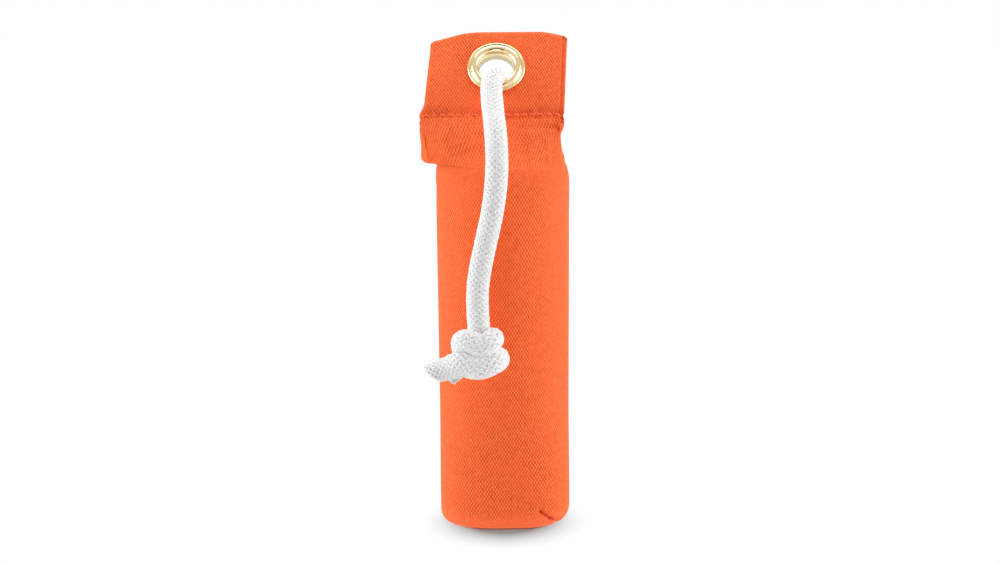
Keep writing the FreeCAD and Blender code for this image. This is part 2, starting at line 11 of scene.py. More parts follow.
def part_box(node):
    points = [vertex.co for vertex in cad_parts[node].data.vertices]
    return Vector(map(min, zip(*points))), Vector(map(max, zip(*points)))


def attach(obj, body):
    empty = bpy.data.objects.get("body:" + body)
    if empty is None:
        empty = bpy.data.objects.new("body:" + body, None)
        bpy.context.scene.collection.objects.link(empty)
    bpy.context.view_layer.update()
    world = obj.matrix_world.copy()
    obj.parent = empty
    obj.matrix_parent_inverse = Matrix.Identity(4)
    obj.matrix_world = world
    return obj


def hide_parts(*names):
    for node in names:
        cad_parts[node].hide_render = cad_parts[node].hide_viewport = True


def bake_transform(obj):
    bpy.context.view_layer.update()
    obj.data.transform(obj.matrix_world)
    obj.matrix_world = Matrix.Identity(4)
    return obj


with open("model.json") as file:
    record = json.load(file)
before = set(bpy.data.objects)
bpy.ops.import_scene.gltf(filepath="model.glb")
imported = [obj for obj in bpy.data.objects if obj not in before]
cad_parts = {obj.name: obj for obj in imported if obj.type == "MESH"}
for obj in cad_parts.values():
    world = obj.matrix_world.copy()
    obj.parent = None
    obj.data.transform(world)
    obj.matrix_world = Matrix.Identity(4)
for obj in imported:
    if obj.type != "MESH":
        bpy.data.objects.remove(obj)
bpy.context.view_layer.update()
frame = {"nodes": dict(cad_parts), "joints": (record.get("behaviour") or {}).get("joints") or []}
MM = 0.001


def mm(*place):
    """A point or step given in millimetres."""
    return Vector(place) * MM


# ---- places and sizes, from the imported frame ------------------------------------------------

def middle(node):
    low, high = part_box(node)
    return (Vector(low) + Vector(high)) / 2


def extent(node):
    low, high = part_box(node)
    return Vector(high) - Vector(low)


JOINTS = {joint["name"]: joint for joint in frame["joints"]}
FOLD = Vector(JOINTS["header_fold"]["pos_m"])
BODY_RADIUS = extent("body_sleeve").x / 2
SHOULDER = Vector(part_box("body_sleeve")[1]).z
EYELET = middle("eyelet")
LEAN = math.atan2(EYELET.y - FOLD.y, EYELET.z - FOLD.z)
UP_HEADER = Vector((0, math.sin(LEAN), math.cos(LEAN)))
OUT_OF_HEADER = Vector((0, -math.cos(LEAN), math.sin(LEAN)))
EYELET_HEIGHT = (EYELET - FOLD).dot(UP_HEADER)
EYELET_RADIUS = extent("eyelet").x / 2
EYELET_ACROSS = EYELET.x - FOLD.x
HEADER_HALF = extent("closing_fold").x / 2
STACK = extent("closing_fold").y / 2
HEADER_LENGTH = (middle("top_hem") - FOLD).dot(UP_HEADER) - 0.2 * MM
CLOTH = STACK / 2
ROPE_RADIUS = extent("rope_through").x / 2


def on_header(across, out, up):
    """A point beside the header's fold line: across to the right, out of its face, up its length."""
    return FOLD + Vector((across, 0, 0)) + OUT_OF_HEADER * out + UP_HEADER * up


# ---- camera, light and floor -----------------------------------------------------------------

CAMERA_DISTANCE = 500 * MM
CAMERA_ELEVATION = math.radians(12.0)
CAMERA_TARGET = mm(-1.3, 0, 92)
CAMERA_LENS = 46.4
CAMERA_ROLL = math.radians(-0.5)
WORLD_FILL = 0.50
MIRRORED_SHARE = 0.45
SIDE_POWER = 7.2
TOP_POWER = 6.0
FRONT_POWER = 0.55
WHITE = (1, 1, 1, 1)
SHADOW_CENTRE = (0, -0.016, 0)
SHADOW_STRETCH = (0.88, 1.0, 1.0)
SHADOW_EDGE = 0.0315
SHADOW_HEART = 0.0125


def make_camera():
    data = bpy.data.cameras.new("camera")
    data.lens = CAMERA_LENS
    data.sensor_width = 36.0
    data.clip_start = 0.01
    data.clip_end = 50.0
    camera = new_object("camera", data)
    back = Vector((0, -math.cos(CAMERA_ELEVATION), math.sin(CAMERA_ELEVATION)))
    turn = (-back).to_track_quat("-Z", "Y").to_matrix().to_4x4()
    place = Matrix.Translation(CAMERA_TARGET + back * CAMERA_DISTANCE)
    camera.matrix_world = place @ turn @ Matrix.Rotation(CAMERA_ROLL, 4, "Z")
    bpy.context.scene.camera = camera


def area_light(name, place, aim, size, power):
    data = bpy.data.lights.new(name, "AREA")
    data.shape = "RECTANGLE"
    data.size, data.size_y = size
    data.energy = power
    light = new_object(name, data)
    light.location = place
    light.rotation_euler = (Vector(aim) - Vector(place)).to_track_quat("-Z", "Y").to_euler()


def make_light():
    """White surroundings, tall softboxes at both sides, a low one in front and one overhead."""
    world = bpy.data.worlds.new("studio")
    bpy.context.scene.world = world
    world.use_nodes = True
    shader = Shader(world)
    fill = shader.set_up("Background", Color=WHITE, Strength=WORLD_FILL)
    seen = shader.add("ShaderNodeBackground", None, {"Color": WHITE, "Strength": 1.0})
    mirrored = shader.add("ShaderNodeLightPath", None, None, "Is Glossy Ray")
    direct = shader.add("ShaderNodeLightPath", None, None, "Is Camera Ray")
    share = mirrored * MIRRORED_SHARE + direct
    shader.finish("World Output", shader.add("ShaderNodeMixShader", None, {0: share, 1: fill, 2: seen}))
    aim = (0, 0, 0.1)
    area_light("left_softbox", (-0.80, -0.14, 0.30), aim, (0.5, 0.9), SIDE_POWER)
    area_light("right_softbox", (0.80, -0.14, 0.30), aim, (0.5, 0.9), SIDE_POWER)
    area_light("front_softbox", (0, -0.75, 0.10), (0, 0, 0.03), (0.5, 0.16), FRONT_POWER)
    area_light("top_softbox", (0, 0.35, 0.95), aim, (0.9, 0.6), TOP_POWER)
    bpy.context.scene.view_settings.view_transform = "Standard"


def make_floor():
    """A white, evenly lit floor, on which the camera sees a shadow close in front of the object."""
    bm = bmesh.new()
    bmesh.ops.create_grid(bm, x_segments=8, y_segments=8, size=6.0)
    floor = keep_mesh("floor", bm)
    material, shader = new_material("white_sweep")
    shader.surface(base_color=(0.27, 0.30, 0.31, 1), roughness=0.9, specular_ior_level=0.0)
    stretched = shader.object_place().vector("MULTIPLY", SHADOW_STRETCH)
    near = shader.ramp(stretched.vector("DISTANCE", SHADOW_CENTRE), SHADOW_EDGE, SHADOW_HEART)
    seen = shader.add("ShaderNodeLightPath", None, None, "Is Camera Ray")
    glow = shader.add("ShaderNodeEmission", None, {"Color": WHITE, "Strength": 1.02})
    shader.mix_surface(1.0 - near * near * seen, glow)
    floor.data.materials.append(material)


def make_dark_wall():
    """The unlit room behind the camera, which polished metal shows as dark streaks."""
    bm = bmesh.new()
    bmesh.ops.create_grid(bm, x_segments=1, y_segments=1, size=0.44)
    turn = Matrix.Rotation(math.radians(-90), 4, "X")
    bmesh.ops.transform(bm, matrix=Matrix.Translation((0, -1.0, 0.4)) @ turn, verts=bm.verts)
    wall = keep_mesh("dark_wall", bm, smooth=False)
    material, shader = new_material("unlit_wall")
    shader.surface(base_color=(0.02, 0.02, 0.02, 1), roughness=0.9)
    wall.data.materials.append(material)
    wall.visible_camera = False


# ---- meshes ----------------------------------------------------------------------------------

def new_object(name, data):
    """An object at the origin, in the scene."""
    made = bpy.data.objects.new(name, data)
    bpy.context.collection.objects.link(made)
    return made


def shaped_mesh(piece):
    """A new mesh with the shape that a piece's modifiers or bevel give it."""
    graph = bpy.context.evaluated_depsgraph_get()
    return bpy.data.meshes.new_from_object(piece.evaluated_get(graph), depsgraph=graph)


def keep_mesh(name, bm, smooth=True):
    """Turn a bmesh into an object at the origin."""
    mesh = bpy.data.meshes.new(name)
    bm.to_mesh(mesh)
    bm.free()
    piece = new_object(name, mesh)
    if smooth:
        mesh.shade_smooth()
    return piece


def apply_modifiers(piece):
    """Put the result of a piece's modifiers in its mesh."""
    mesh = shaped_mesh(piece)
    piece.modifiers.clear()
    piece.data = mesh
    return piece


def new_curve(name, thickness=0.0, resolution=0, caps=False):
    """An empty curve, whose lines become round strands with a radius of thickness."""
    data = bpy.data.curves.new(name, "CURVE")
    data.dimensions = "3D"
    data.bevel_depth = thickness
    data.bevel_resolution = resolution
    data.use_fill_caps = caps
    return data


def add_line(data, places, radii=None):
    spline = data.splines.new("POLY")
    spline.points.add(len(places) - 1)
    flat = np.concatenate([places, np.ones((len(places), 1))], axis=1)
    spline.points.foreach_set("co", flat.ravel())
    if radii is not None:
        spline.points.foreach_set("radius", radii)


def as_mesh(data, name):
    """A mesh object made from a curve."""
    curve = new_object(name, data)
    mesh = shaped_mesh(curve)
    bpy.data.objects.remove(curve)
    mesh.shade_smooth()
    return new_object(name, mesh)


def vertex_values(mesh, what):
    """The places or normals of a mesh's vertices, one row each."""
    values = np.empty(len(mesh.vertices) * 3)
    mesh.vertices.foreach_get(what, values)
    return values.reshape(-1, 3)


def dress(piece, material, slot, body, *nodes):
    """Give a piece its material, the nodes it replaces and the body it rides on; slot is not used."""
    piece.data.materials.append(material)
    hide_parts(*nodes)
    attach(piece, body)


def join(name, parts):
    """Join mesh objects into one new object of a name, removing the parts."""
    bm = bmesh.new()
    for part in parts:
        bm.from_mesh(part.data)
        bpy.data.objects.remove(part)
    return keep_mesh(name, bm)


# ---- materials -------------------------------------------------------------------------------

class Term:
    """A socket of a material, which Python's operators join with Math nodes."""

    def __init__(self, shader, socket):
        self.shader = shader
        self.socket = socket

    def math(self, operation, *values):
        return self.shader.add("ShaderNodeMath", {"operation": operation}, dict(enumerate((self, *values))))

    def __add__(self, other):
        return self.math("ADD", other)

    __radd__ = __add__

    def __sub__(self, other):
        return self.math("SUBTRACT", other)

    def __rsub__(self, other):
        return self.math("MULTIPLY_ADD", -1.0, other)

    def __mul__(self, other):
        return self.math("MULTIPLY", other)

    __rmul__ = __mul__

    def __truediv__(self, other):
        return self.math("DIVIDE", other)

    def vector(self, operation, *values):
        """A Vector Math node; lengths and dot products come out as numbers."""
        output = 1 if operation in ("LENGTH", "DOT_PRODUCT", "DISTANCE") else 0
        inputs = dict(enumerate((self, *values)))
        return self.shader.add("ShaderNodeVectorMath", {"operation": operation}, inputs, output)


class Shader:
    """The node tree of one material, or of the surroundings."""

    def __init__(self, owner):
        self.tree = owner.node_tree

    def set_up(self, name, **values):
        """Set or link sockets, named in plain words, of a node that is already there."""
        node = self.tree.nodes[name]
        for word, value in values.items():
            socket = node.inputs[word.replace("_", " ").title().replace("Ior", "IOR")]
            if isinstance(value, Term):
                self.tree.links.new(value.socket, socket)
            else:
                socket.default_value = value
        return Term(self, node.outputs[0])

    def surface(self, **values):
        return self.set_up("Principled BSDF", **values)

    def finish(self, name, shown):
        """Link what is shown to the output node of a name."""
        self.tree.links.new(shown.socket, self.tree.nodes[name].inputs["Surface"])

    def add(self, kind, settings=None, inputs=None, output=0):
        """A node of a kind, its settings first and then its inputs; gives one of its outputs."""
        node = self.tree.nodes.new(kind)
        for name, value in (settings or {}).items():
            setattr(node, name, value)
        for key, value in (inputs or {}).items():
            if isinstance(value, Term):
                self.tree.links.new(value.socket, node.inputs[key])
            else:
                node.inputs[key].default_value = value
        return Term(self, node.outputs[output])

    def split(self, vector):
        """The three numbers of a vector."""
        parts = self.add("ShaderNodeSeparateXYZ", None, {0: vector})
        return [Term(self, parts.socket.node.outputs[axis]) for axis in range(3)]

    def object_place(self):
        return self.add("ShaderNodeTexCoord", None, None, "Object")

    def uv(self, name):
        return self.add("ShaderNodeUVMap", {"uv_map": name}, None, "UV")

    def attribute(self, name):
        return self.add("ShaderNodeAttribute", {"attribute_name": name}, None, "Fac")

    def noise(self, vector, scale, detail=2.0, roughness=0.5):
        inputs = {"Vector": vector, "Scale": scale, "Detail": detail, "Roughness": roughness}
        return self.add("ShaderNodeTexNoise", None, inputs, 0)

    def mix(self, factor, first, second):
        inputs = {0: factor, 6: first, 7: second}
        return self.add("ShaderNodeMix", {"data_type": "RGBA"}, inputs, 2)

    def ramp(self, factor, low, high):
        """A number spread so that low gives 0 and high gives 1, held between them."""
        inputs = {"Value": factor, "From Min": low, "From Max": high}
        return self.add("ShaderNodeMapRange", {"clamp": True}, inputs, 0)

    def bump(self, height, distance, strength=1.0):
        inputs = {"Height": height, "Distance": distance, "Strength": strength}
        return self.add("ShaderNodeBump", None, inputs, 0)

    def mix_surface(self, factor, other):
        """Blend the Principled shader with another one on the way to the output."""
        plain = self.surface()
        self.finish("Material Output", self.add("ShaderNodeMixShader", None, {0: factor, 1: plain, 2: other}))


def new_material(name):
    material = bpy.data.materials.new(name)
    material.use_nodes = True
    return material, Shader(material)


WARP_PITCH = 0.575 * MM
WEFT_PITCH = 1.0 * MM
CLOTH_UV = "cloth"


def weave(shader, across, along):
    """A plain weave: its height, and which thread is on top (1 for the warp, 0 for the weft)."""
    warp = across / WARP_PITCH
    weft = along / WEFT_PITCH
    warp_round = (warp.math("FRACT") * math.pi).math("SINE")
    weft_round = (weft.math("FRACT") * math.pi).math("SINE")
    warp_wave = ((weft + warp.math("FLOOR") - 0.5) * math.pi).math("COSINE")
    weft_wave = ((warp + weft.math("FLOOR") + 0.5) * math.pi).math("COSINE")
    warp_height = warp_round * 0.5 + warp_wave * 0.5
    weft_height = weft_round * 0.4 + weft_wave * 0.5
    on_top = shader.ramp(warp_height - weft_height, -0.9, 0.9)
    return warp_height.math("MAXIMUM", weft_height), on_top


def canvas_material():
    """Bright orange cotton duck: plain weave with slubs, worn patches and fuzz, painted shade low in the
    weave and in seams and folds, and painted light along the foot.
    """
    material, shader = new_material("orange_duck")
    across, along, _ = shader.split(shader.uv(CLOTH_UV))
    place = shader.object_place()
    slub = shader.noise(place, 700.0, 1.0)
    cloudy = shader.noise(place, 70.0, 3.0)
    fuzz = shader.noise(place, 5200.0, 2.0)
    wander = (shader.noise(place, 220.0, 1.0) - 0.5) * (0.5 * WARP_PITCH)
    drift = (shader.noise(place, 160.0, 1.0) - 0.5) * (0.5 * WEFT_PITCH)
    height, on_top = weave(shader, across + wander, along + drift)
    # Partly painted shade: which thread lies on top and the slubs give the thread's own tone, while the lower
    # parts of the weave are coloured darker, standing in for shade between the threads.
    shown = on_top * 0.65 + height * 0.35 + (slub - 0.5) * 0.55
    deep = (0.64, 0.038, 0.006, 1)
    bright = (1.0, 0.205, 0.050, 1)
    thread = shader.mix(shader.ramp(shown, 0.1, 0.95), deep, bright)
    patch = shader.ramp(cloudy, 0.35, 0.75) * 0.30
    faded = shader.mix(patch, thread, (0.98, 0.135, 0.032, 1))
    # Painted light: the bottom few millimetres of the cover are coloured a brighter orange, standing in for
    # light thrown up from the floor onto the foot.
    low = shader.ramp(shader.split(place)[2], 6.5 * MM, 3.5 * MM)
    foot_painted_light = shader.mix(low * 0.8, faded, (1.0, 0.155, 0.045, 1))
    # Painted shade: the mask from press_seams darkens the seams, folds, hollows and the band along the
    # closing stitches, standing in for the shade that falls there and for the rope's shadow.
    painted_crease_shade = shader.attribute("painted_crease_shade")
    painted_shade_colour = shader.mix(painted_crease_shade, foot_painted_light, (0.42, 0.022, 0.004, 1))
    relief = height + on_top * 0.3 + (fuzz - 0.5) * 0.25 + (slub - 0.5) * 0.3
    shader.surface(
        base_color=painted_shade_colour,
        roughness=0.85,
        sheen_weight=0.22,
        sheen_roughness=0.4,
        sheen_tint=(1.0, 0.50, 0.30, 1),
        specular_ior_level=0.2,
        normal=shader.bump(relief, 0.16 * MM, 1.0),
    )
    return material


def thread_material():
    material, shader = new_material("orange_thread")
    place = shader.object_place()
    ply = shader.noise(place, 3000.0, 2.0)
    colour = shader.mix(ply, (0.88, 0.09, 0.022, 1), (1.0, 0.24, 0.075, 1))
    shader.surface(base_color=colour, roughness=0.6, normal=shader.bump(ply, 0.08 * MM))
    return material


def rope_material():
    """Bright white braided polyester, faintly grey between the fibres."""
    material, shader = new_material("white_braid")
    place = shader.object_place()
    fibre = shader.noise(place, 2600.0, 3.0, 0.6)
    soft = shader.noise(place, 320.0, 2.0)
    colour = shader.mix(fibre, (0.90, 0.895, 0.89, 1), (0.97, 0.965, 0.96, 1))
    worn = shader.mix(shader.ramp(soft, 0.45, 0.8) * 0.3, colour, (0.87, 0.87, 0.87, 1))
    shader.surface(
        base_color=worn,
        roughness=0.62,
        sheen_weight=0.2,
        subsurface_weight=0.6,
        subsurface_radius=(1.0, 1.0, 1.0),
        subsurface_scale=0.0014,
        normal=shader.bump(fibre, 0.08 * MM, 0.6),
    )
    return material


def brass_material():
    """Polished pale brass with fine handling marks."""
    material, shader = new_material("pale_brass")
    place = shader.object_place()
    haze = shader.noise(place, 420.0, 4.0, 0.6)
    marks = shader.noise(place, 2400.0, 2.0)
    colour = shader.mix(haze, (0.95, 0.74, 0.38, 1), (0.98, 0.82, 0.50, 1))
    shader.surface(
        base_color=colour,
        metallic=1.0,
        roughness=shader.ramp(haze, 0.2, 0.9) * 0.10 + 0.10,
        normal=shader.bump(marks, 0.004 * MM, 0.5),
    )
    return material


def foam_material():
    material, shader = new_material("closed_cell_foam")
    place = shader.object_place()
    cells = shader.add("ShaderNodeTexVoronoi", None, {"Vector": place, "Scale": 1400.0}, 0)
    colour = shader.mix(cells, (0.78, 0.78, 0.76, 1), (0.90, 0.90, 0.88, 1))
    shader.surface(base_color=colour, roughness=0.9, normal=shader.bump(cells, 0.2 * MM))
    return material


def webbing_material():
    material, shader = new_material("stay_webbing")
    across, _, along = shader.split(shader.object_place())
    height, on_top = weave(shader, across, along)
    colour = shader.mix(on_top, (0.50, 0.47, 0.40, 1), (0.80, 0.77, 0.70, 1))
    shader.surface(base_color=colour, roughness=0.85, normal=shader.bump(height, 0.2 * MM))
    return material


# ---- the canvas cover ------------------------------------------------------------------------

HALF_ROUND = math.pi * BODY_RADIUS
AROUND = 176
BASE_ROWS = 16
COLUMN_ROWS = 52
SHOULDER_ROWS = 26
HEADER_ROWS = 30
BEND_START = SHOULDER - 6 * MM
SHOULDER_RISE = 30 * MM
EDGE_ROUND = 1.3 * MM
FOOT_RADIUS = 25.6 * MM
FOOT_SQUARE = 3.0
FRONT_FACE = STACK - 0.25 * MM
MOST_MOVE = 1.0 * MM
SEAM_UP = -0.4 * MM
CORE_ROUND = 3.6 * MM
SETTLE_FRAMES = 14
TUCK_DEPTH = 13.0 * MM
FRONT_INSET = 2.3 * MM
FOLD_SOFT = 0.45 * MM
LEFT_FRONT_WIDER = 1.045
EAR_REACH = -31.2 * MM
EAR_AROUND = -0.42
PINCH_AROUND = 0.45
PINCH_HEIGHT = 148.9 * MM


def smooth(value, low, high):
    """0 below low, 1 above high, easing between."""
    part = np.clip((value - low) / (high - low), 0.0, 1.0)
    return part * part * (3.0 - 2.0 * part)


def bell(value, centre, width):
    return np.exp(-((value - centre) / width) ** 2)


def fold_corners():
    """Half of the header's section: front layer, side tuck in and out, back layer."""
    inner = 0.42 * CLOTH
    tuck = HEADER_HALF - TUCK_DEPTH
    front_edge = HEADER_HALF - FRONT_INSET
    back_edge = HEADER_HALF - FOLD_SOFT
    return np.array([
        (0.0, FRONT_FACE),
        (front_edge, FRONT_FACE),
        (front_edge + 0.4 * MM, 0.62 * FRONT_FACE),
        (front_edge, inner),
        (tuck + 0.4 * MM, inner),
        (tuck, 0.0),
        (tuck + 0.4 * MM, -inner),
        (back_edge, -inner),
        (HEADER_HALF, -0.62 * FRONT_FACE),
        (back_edge, -FRONT_FACE),
        (0.0, -FRONT_FACE),
    ])


def fold_shares():
    corners = fold_corners()
    steps = np.linalg.norm(np.diff(corners, axis=0), axis=1)
    return np.concatenate([[0.0], np.cumsum(steps)]) / steps.sum()


def folded_section(share):
    """Across and out of the header's section, for a share of the way from front to back."""
    corners = fold_corners()
    along = fold_shares()
    return np.interp(share, along, corners[:, 0]), np.interp(share, along, corners[:, 1])


def spread_columns(even):
    """Crowd the cloth's columns towards the header's folds."""
    shares = fold_shares()
    grid = np.linspace(0.0, 1.0, 1001)
    front_fold, tuck_fold, back_fold = shares[2], shares[5], shares[8]
    folds = bell(grid, front_fold, 0.018) + bell(grid, tuck_fold, 0.012) + bell(grid, back_fold, 0.018)
    crowd = 1.0 + 3.5 * folds
    reached = np.concatenate([[0.0], np.cumsum((crowd[1:] + crowd[:-1]) / 2)])
    reached /= reached[-1]
    return np.sign(even) * np.interp(np.abs(even), reached, grid)


def shoulder_curve(share):
    """Depth as a share of the body's radius, and height, up the front slope."""
    start = (1.0, BEND_START)
    turn = (1.0, SHOULDER + 2.5 * MM)
    end = (FRONT_FACE / BODY_RADIUS, FOLD.z)
    left = (1 - share) ** 2
    mid = 2 * share * (1 - share)
    right = share ** 2
    return tuple(left * a + mid * b + right * c for a, b, c in zip(start, turn, end))


def header_shift(up):
    """The header sits left of the body's axis, less so towards its top."""
    return FOLD.x - 1.2 * MM + 0.060 * up


def seam_flare(spread, up):
    """The closing seam holds the cloth out past the header's left edge."""
    return 1.6 * MM * (1.0 - smooth(up, 0.0, 7 * MM)) * smooth(-spread, 0.70, 0.98)


def column_radius(angle, height):
    """The round body, which turns squarish towards the boxed base."""
    foot = 1.0 - smooth(height, 4 * MM, 48 * MM)
    power = 2.0 + (FOOT_SQUARE - 2.0) * foot
    flat = (np.abs(np.sin(angle)) ** power + np.abs(np.cos(angle)) ** power) ** (-1.0 / power)
    return (BODY_RADIUS + (FOOT_RADIUS - BODY_RADIUS) * foot) * flat


def foot_corner(around):
    """Radius of the soft edge under the foot, larger in front and behind and at the pinched corner."""
    rounder = 0.6 * np.abs(np.cos(around * math.pi)) ** 3 + 1.5 * bell(around, 0.38, 0.14)
    return EDGE_ROUND + rounder * MM


def ring(around, reach, height):
    """Points round the body's axis, from the back by the left, the front and the right."""
    angle = around * math.pi
    return np.stack([np.sin(angle) * reach, -np.cos(angle) * reach, np.full_like(angle, height)], axis=1)


def header_section(around):
    """How far the folded cloth lies across from the header's middle and out of it."""
    across, out = folded_section(np.abs(around))
    wider = np.where((around < 0) & (out > 0), LEFT_FRONT_WIDER, 1.0)
    return across * wider * np.sign(around), out


def base_row(share, around):
    reach = share * (column_radius(around * math.pi, 0.0) - foot_corner(around))
    return ring(around, reach, 0.0), -(1 - share) * BODY_RADIUS


def column_row(share, around):
    corner = foot_corner(around)
    height = share * BEND_START
    lift = np.maximum(0.0, 1.0 - height / corner)
    edge = corner * (1.0 - np.sqrt(np.maximum(0.0, 1.0 - lift ** 2)))
    return ring(around, column_radius(around * math.pi, height) - edge, height), height


def shoulder_row(share, around):
    """A row of the closing shoulders, part round and part flat."""
    offset, out = header_section(around)
    depth, height = shoulder_curve(share)
    shut = FRONT_FACE / BODY_RADIUS
    flat = min(1.0, max(0.0, 1.0 - (depth - shut) / (1.0 - shut)))
    spread = np.clip(offset / HEADER_HALF, -1.0, 1.0)
    across = offset + header_shift(0.0) - seam_flare(spread, 0.0)
    points = ring(around, BODY_RADIUS * (1 - flat), height)
    points[:, 0] += across * flat
    points[:, 1] -= out * flat
    return side_folds(points, around), BEND_START + share * SHOULDER_RISE


def header_row(share, around):
    """A row of the flat header, whose free corners droop back and down."""
    up = share * HEADER_LENGTH
    offset, out = header_section(around)
    out = out * (1.0 - 0.96 * smooth(up, HEADER_LENGTH - 1.5 * MM, HEADER_LENGTH))
    spread = np.clip(offset / HEADER_HALF, -1.0, 1.0)
    droop = smooth(up, 0.15 * HEADER_LENGTH, HEADER_LENGTH) * MM
    bow = (2.6 * smooth(-spread, 0.45, 1.05) + 1.3 * smooth(spread, 0.55, 1.05)) * droop
    short = (2.5 * smooth(-spread, 0.25, 1.1) + 1.3 * smooth(spread, 0.6, 1.05)) * share
    tips = 1.2 * smooth(np.abs(spread), 0.93, 1.0) ** 2 * share ** 4
    across = offset + header_shift(up) - seam_flare(spread, up)
    points = np.array(FOLD) * (0.0, 1.0, 1.0) + np.outer(across, (1, 0, 0))
    points += np.outer(out - bow, OUT_OF_HEADER)
    points += np.outer(up - (short + tips) * MM, UP_HEADER)
    return points, BEND_START + SHOULDER_RISE + up


def cover_rows():
    """The cloth's rows from the base's middle to the header's top: a kind and a share within it."""
    rows = [(base_row, step / BASE_ROWS) for step in range(1, BASE_ROWS)]
    rows += [(column_row, (step / COLUMN_ROWS) ** 1.6) for step in range(COLUMN_ROWS)]
    rows += [(shoulder_row, step / SHOULDER_ROWS) for step in range(SHOULDER_ROWS)]
    rows += [(header_row, step / HEADER_ROWS) for step in range(HEADER_ROWS + 1)]
    return rows


def side_folds(points, around):
    """The loose fold that stands out at the left of the shoulder, and the pinch at its right."""
    height = points[:, 2]
    across = points[:, 0]
    hang = smooth(height, 139.2 * MM, 141.7 * MM)
    ahead = 1.0 - smooth(np.abs(around), 0.80, 0.98)
    ear = np.minimum(1.0, 1.3 * np.exp(-np.abs(around - EAR_AROUND) / 0.15)) * hang * ahead
    reach = EAR_REACH + 6.0 * MM * (1.0 - smooth(height, 138.8 * MM, 145.8 * MM)) ** 2
    push = np.minimum(0.0, reach - across) * ear
    points[:, 0] += push
    points[:, 2] += 0.5 * push * (1.0 - smooth(height, 141 * MM, 150 * MM))
    beside = np.exp(-np.abs(around - PINCH_AROUND) / 0.12) * ahead
    pinch = bell(height, PINCH_HEIGHT, 1.2 * MM)
    full = bell(height, 143.0 * MM, 4.0 * MM)
    flap = smooth(height, 149.6 * MM, 150.6 * MM)
    points[:, 0] += beside * (2.7 * full - 3.6 * pinch + 3.1 * flap) * MM
    return points


def make_cover_mesh():
    rows = cover_rows()
    bm = bmesh.new()
    bmesh.ops.create_grid(bm, x_segments=AROUND, y_segments=len(rows) - 1, size=0.5, calc_uvs=True)
    uv_layer = bm.loops.layers.uv.verify()
    bm.verts.ensure_lookup_table()
    around = spread_columns(np.array([vertex.co.x * 2.0 for vertex in bm.verts]))
    row_of = np.array([round((vertex.co.y + 0.5) * (len(rows) - 1)) for vertex in bm.verts])
    places = np.zeros((len(around), 3))
    along = np.zeros(len(around))
    for index, (row, share) in enumerate(rows):
        picked = np.flatnonzero(row_of == index)
        points, height = row(share, around[picked])
        places[picked] = points
        along[picked] = height
    for vertex, place in zip(bm.verts, places):
        vertex.co = place
    for face in bm.faces:
        for loop in face.loops:
            index = loop.vert.index
            if along[index] < 0:
                loop[uv_layer].uv = (places[index][0], places[index][1])
            else:
                loop[uv_layer].uv = (around[index] * HALF_ROUND, along[index])
    return bm


def close_foot(bm):
    """Fill the small opening that the grid leaves at the middle of the base."""
    ring = [edge for edge in bm.edges if edge.is_boundary and max(v.co.length for v in edge.verts) < 4 * MM]
    bmesh.ops.contextual_create(bm, geom=ring)


def cut_eyelet_hole(bm, radius):
    """Take away the cloth inside the eyelet."""
    gone = []
    for face in bm.faces:
        centre = face.calc_center_median()
        offset = centre - FOLD
        near = abs(offset.dot(OUT_OF_HEADER)) < 6 * MM
        if near and math.hypot(centre.x - EYELET.x, offset.dot(UP_HEADER) - EYELET_HEIGHT) < radius:
            gone.append(face)
    bmesh.ops.delete(bm, geom=gone, context="FACES")


def pin(cover, free):
    """Pin the cloth where it isn't free; gives the name of the group that says so."""
    held = cover.vertex_groups.new(name="held")
    for index, share in enumerate(free):
        held.add([index], 1.0 - float(share), "REPLACE")
    return held.name


def press_core():
    """A copy of the foam core that the cloth can't pass."""
    foam = frame["nodes"]["foam_core"]
    core = new_object("press_core", foam.data.copy())
    core.matrix_world = foam.matrix_world
    core.modifiers.new("collision", "COLLISION")
    core.collision.thickness_outer = 0.5 * MM
    return core


def slack_cloth(cover, pinned):
    """Canvas with no weight of its own that is a little larger than its shape."""
    cloth = cover.modifiers.new("cloth", "CLOTH")
    cloth.settings.quality = 5
    cloth.settings.mass = 0.2
    cloth.settings.tension_stiffness = 20
    cloth.settings.compression_stiffness = 20
    cloth.settings.shear_stiffness = 8
    cloth.settings.bending_stiffness = 0.6
    cloth.settings.shrink_min = -0.025
    cloth.settings.vertex_group_mass = pinned
    cloth.settings.effector_weights.gravity = 0.0
    cloth.collision_settings.distance_min = 0.0004
    cloth.point_cache.frame_end = SETTLE_FRAMES
    return cloth


def settle(cover):
    """Let the loose cloth of the shoulders slacken over the foam core, and keep the small moves."""
    before = vertex_values(cover.data, "co")
    height = before[:, 2]
    free = smooth(height, 130 * MM, 138 * MM) * (1.0 - smooth(height, 149 * MM, 153 * MM))
    pinned = pin(cover, free)
    core = press_core()
    cloth = slack_cloth(cover, pinned)
    scene = bpy.context.scene
    for frame_number in range(1, SETTLE_FRAMES + 1):
        scene.frame_set(frame_number)
    graph = bpy.context.evaluated_depsgraph_get()
    move = vertex_values(cover.evaluated_get(graph).data, "co") - before
    size = np.linalg.norm(move, axis=1)
    kept = np.minimum(size, MOST_MOVE) / np.maximum(size, 1e-9) * smooth(height, 134 * MM, 142 * MM)
    cover.modifiers.remove(cloth)
    scene.frame_set(1)
    bpy.data.objects.remove(core)
    cover.data.vertices.foreach_set("co", (before + move * kept[:, None]).ravel())
    cover.data.update()


